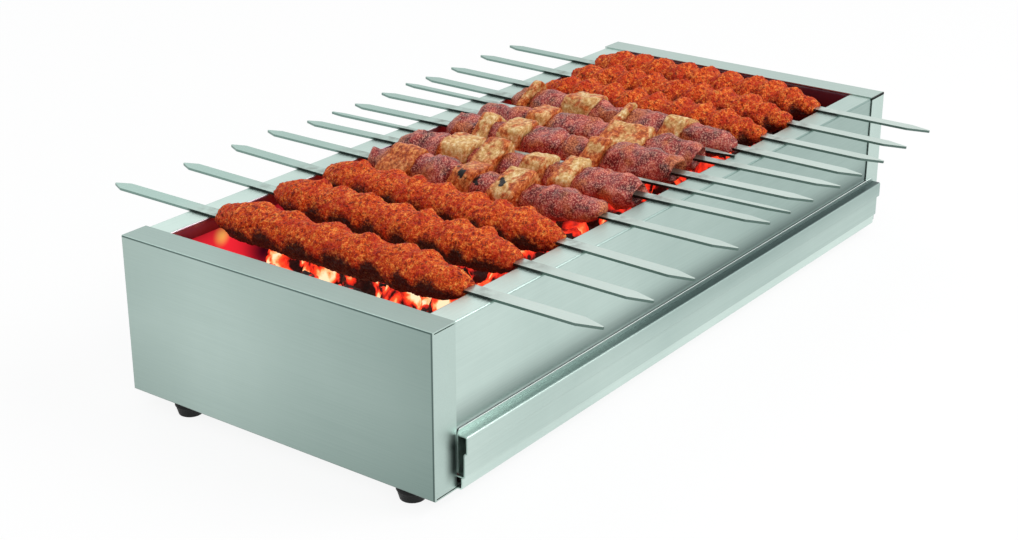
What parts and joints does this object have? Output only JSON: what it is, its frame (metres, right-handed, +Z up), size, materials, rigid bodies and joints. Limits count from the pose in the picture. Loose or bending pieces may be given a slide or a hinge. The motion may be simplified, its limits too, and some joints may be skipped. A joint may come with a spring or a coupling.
{
  "type": "charcoal kebab grill",
  "caption": "Long low charcoal kebab grill of folded sheet metal with a full-length ash drawer, loaded with flat skewers of minced and cubed meat.",
  "frame": {"origin": "centre of the case's footprint, on the plane that the feet stand on", "axes": "+X along the long side, +Y away from the drawer front, +Z up"},
  "size_m": [0.8, 0.562, 0.1817],
  "materials": {
    "brushed_stainless": "straight brushed grain along each panel, soft sheen",
    "mill_stainless": "dull mill finish",
    "heat_tinted_stainless": "brushed, heat tinted maroon and purple",
    "sooty_steel": "sooty and dull",
    "charcoal": "rough black lumps with glowing orange faces",
    "foot_rubber": "matt black",
    "fasteners": "plain steel",
    "skewer_steel": "flat brushed bar with dark edges",
    "kofte": "browned mince, grainy and moist",
    "lamb": "seared meat, dark red and speckled",
    "tail_fat": "pale fat browned at its edges"
  },
  "bodies": {
    "case": {"left_end_cap": "brushed_stainless", "right_end_cap": "brushed_stainless", "front_panel": "brushed_stainless", "back_panel": "brushed_stainless", "base_pan": "mill_stainless", "drawer_sill": "brushed_stainless", "firebox_front_wall": "heat_tinted_stainless", "firebox_back_wall": "heat_tinted_stainless", "firebox_left_wall": "heat_tinted_stainless", "firebox_right_wall": "heat_tinted_stainless", "charcoal_grate": "sooty_steel", "charcoal": "charcoal", "right_drawer_guide": "mill_stainless", "left_drawer_guide": "mill_stainless", "front_left_foot": "foot_rubber", "front_right_foot": "foot_rubber", "back_left_foot": "foot_rubber", "back_right_foot": "foot_rubber", "foot_screws": "fasteners", "foot_nuts": "fasteners"},
    "ash_drawer": {"drawer_face": "brushed_stainless", "drawer_handle_channel": "brushed_stainless", "ash_tray": "mill_stainless", "drawer_rivets": "fasteners"},
    "kebab_01": {"skewer_01": "skewer_steel", "kofte_01": "kofte"},
    "kebab_02": {"skewer_02": "skewer_steel", "kofte_02": "kofte"},
    "kebab_03": {"skewer_03": "skewer_steel", "kofte_03": "kofte"},
    "kebab_04": {"skewer_04": "skewer_steel", "lamb_meat_04": "lamb", "lamb_fat_04": "tail_fat"},
    "kebab_05": {"skewer_05": "skewer_steel", "lamb_meat_05": "lamb", "lamb_fat_05": "tail_fat"},
    "kebab_06": {"skewer_06": "skewer_steel"},
    "kebab_07": {"skewer_07": "skewer_steel", "lamb_meat_07": "lamb", "lamb_fat_07": "tail_fat"},
    "kebab_08": {"skewer_08": "skewer_steel", "lamb_meat_08": "lamb", "lamb_fat_08": "tail_fat"},
    "kebab_09": {"skewer_09": "skewer_steel"},
    "kebab_10": {"skewer_10": "skewer_steel", "lamb_meat_10": "lamb", "lamb_fat_10": "tail_fat"},
    "kebab_11": {"skewer_11": "skewer_steel", "kofte_11": "kofte"},
    "kebab_12": {"skewer_12": "skewer_steel", "kofte_12": "kofte"},
    "kebab_13": {"skewer_13": "skewer_steel", "kofte_13": "kofte"}
  },
  "joints": [
    {"name": "ash_drawer_slide", "type": "slide", "parent": "case", "child": "ash_drawer", "axis": [0, -1, 0], "range_m": [0, 0.25]},
    {"name": "kebab_01_lift", "type": "slide", "parent": "case", "child": "kebab_01", "axis": [0, 0, 1], "range_m": [0, 0.12]},
    {"name": "kebab_02_lift", "type": "slide", "parent": "case", "child": "kebab_02", "axis": [0, 0, 1], "range_m": [0, 0.12]},
    {"name": "kebab_03_lift", "type": "slide", "parent": "case", "child": "kebab_03", "axis": [0, 0, 1], "range_m": [0, 0.12]},
    {"name": "kebab_04_lift", "type": "slide", "parent": "case", "child": "kebab_04", "axis": [0, 0, 1], "range_m": [0, 0.12]},
    {"name": "kebab_05_lift", "type": "slide", "parent": "case", "child": "kebab_05", "axis": [0, 0, 1], "range_m": [0, 0.12]},
    {"name": "kebab_06_lift", "type": "slide", "parent": "case", "child": "kebab_06", "axis": [0, 0, 1], "range_m": [0, 0.12]},
    {"name": "kebab_07_lift", "type": "slide", "parent": "case", "child": "kebab_07", "axis": [0, 0, 1], "range_m": [0, 0.12]},
    {"name": "kebab_08_lift", "type": "slide", "parent": "case", "child": "kebab_08", "axis": [0, 0, 1], "range_m": [0, 0.12]},
    {"name": "kebab_09_lift", "type": "slide", "parent": "case", "child": "kebab_09", "axis": [0, 0, 1], "range_m": [0, 0.12]},
    {"name": "kebab_10_lift", "type": "slide", "parent": "case", "child": "kebab_10", "axis": [0, 0, 1], "range_m": [0, 0.12]},
    {"name": "kebab_11_lift", "type": "slide", "parent": "case", "child": "kebab_11", "axis": [0, 0, 1], "range_m": [0, 0.12]},
    {"name": "kebab_12_lift", "type": "slide", "parent": "case", "child": "kebab_12", "axis": [0, 0, 1], "range_m": [0, 0.12]},
    {"name": "kebab_13_lift", "type": "slide", "parent": "case", "child": "kebab_13", "axis": [0, 0, 1], "range_m": [0, 0.12]}
  ]
}
